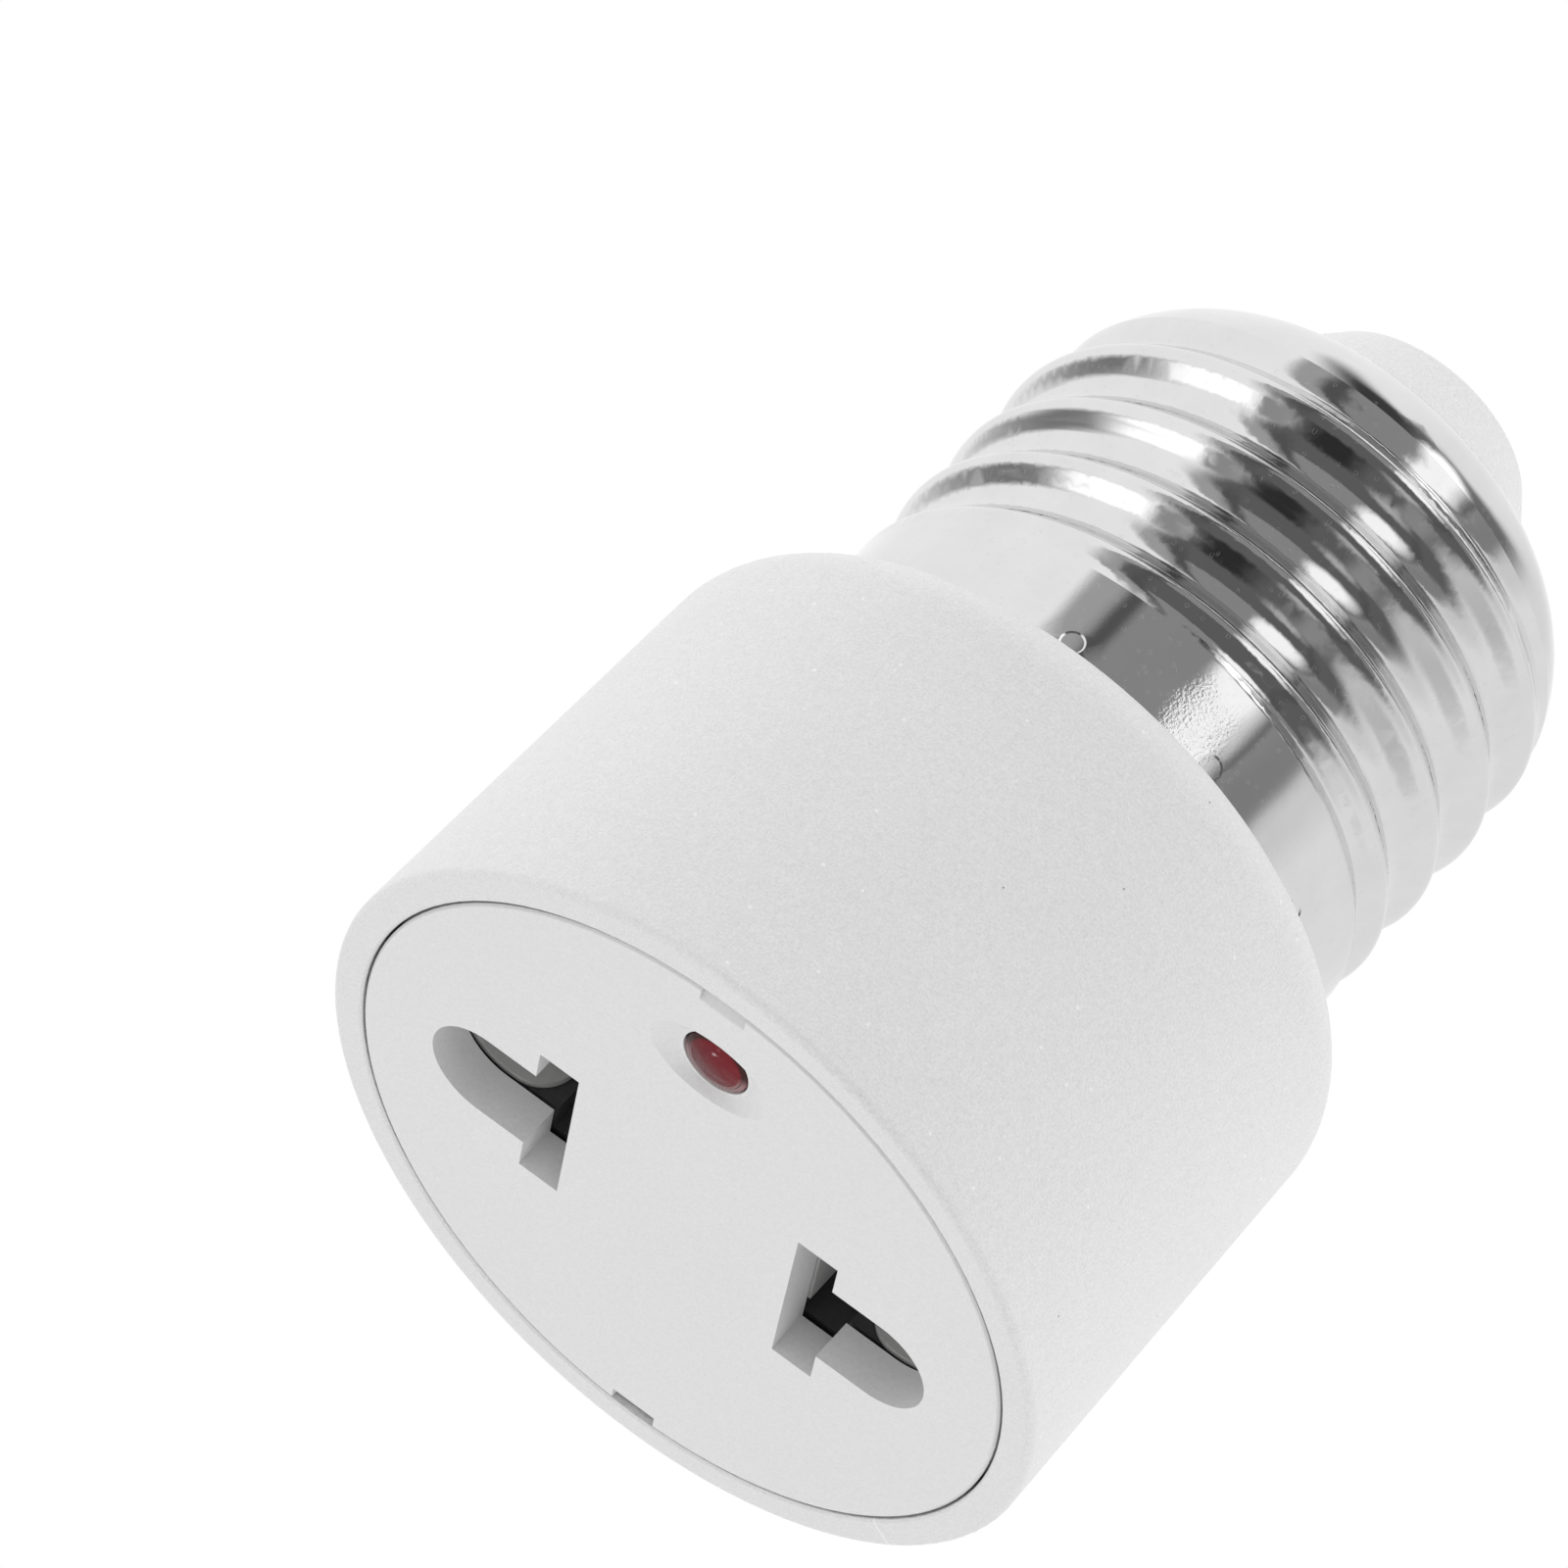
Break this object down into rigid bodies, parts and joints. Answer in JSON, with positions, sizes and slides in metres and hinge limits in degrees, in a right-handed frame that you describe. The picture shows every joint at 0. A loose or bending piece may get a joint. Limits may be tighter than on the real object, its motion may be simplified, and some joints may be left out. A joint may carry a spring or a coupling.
{
  "type": "light socket outlet adapter",
  "caption": "Round white adapter with a screw cap for a lamp socket at one end and a two-pin outlet face with T-shaped slots and a red indicator lamp at the other.",
  "frame": {"origin": "centre of the outlet rim's plane, which the adapter stands on", "axes": "+Z along the screw cap towards the tip contact, the outlet faces -Z, the slots lie along X, the indicator lamp is on the -Y side"},
  "size_m": [0.0344, 0.0344, 0.0516],
  "materials": {
    "white_body": "fine moulded texture",
    "white_face": "smooth satin",
    "carrier_grey": "dark moulded insulator",
    "nickel_shell": "bright nickel plate on rolled sheet",
    "nickel_tip": "nickel plate",
    "contact_metal": "nickel-plated spring strip",
    "lens_red": "clear tinted resin",
    "copper": "stranded conductor as one bar",
    "sheath_red": "wire insulation",
    "sheath_black": "wire insulation",
    "resistor_coat": "lacquered",
    "diode_glass": "amber glass",
    "tinned_wire": "tinned",
    "shrink_black": "shrunk sleeve",
    "solder": "solder"
  },
  "bodies": {
    "root": {"housing": "white_body", "face_plate": "white_face", "contact_carrier": "carrier_grey", "screw_shell": "nickel_shell", "centre_contact": "nickel_tip", "contact_left": "contact_metal", "contact_right": "contact_metal", "indicator_lamp": "lens_red", "live_core": "copper", "neutral_core": "copper", "live_sheath": "sheath_red", "neutral_sheath": "sheath_black", "resistor": "resistor_coat", "resistor_lamp_lead": "tinned_wire", "resistor_lower_lead": "tinned_wire", "resistor_upper_lead": "tinned_wire", "resistor_sleeve": "shrink_black", "diode": "diode_glass", "diode_lamp_lead": "tinned_wire", "diode_lower_lead": "tinned_wire", "diode_upper_lead": "tinned_wire", "diode_sleeve": "shrink_black", "solder_left": "solder", "solder_right": "solder", "solder_centre": "solder"}
  },
  "joints": []
}
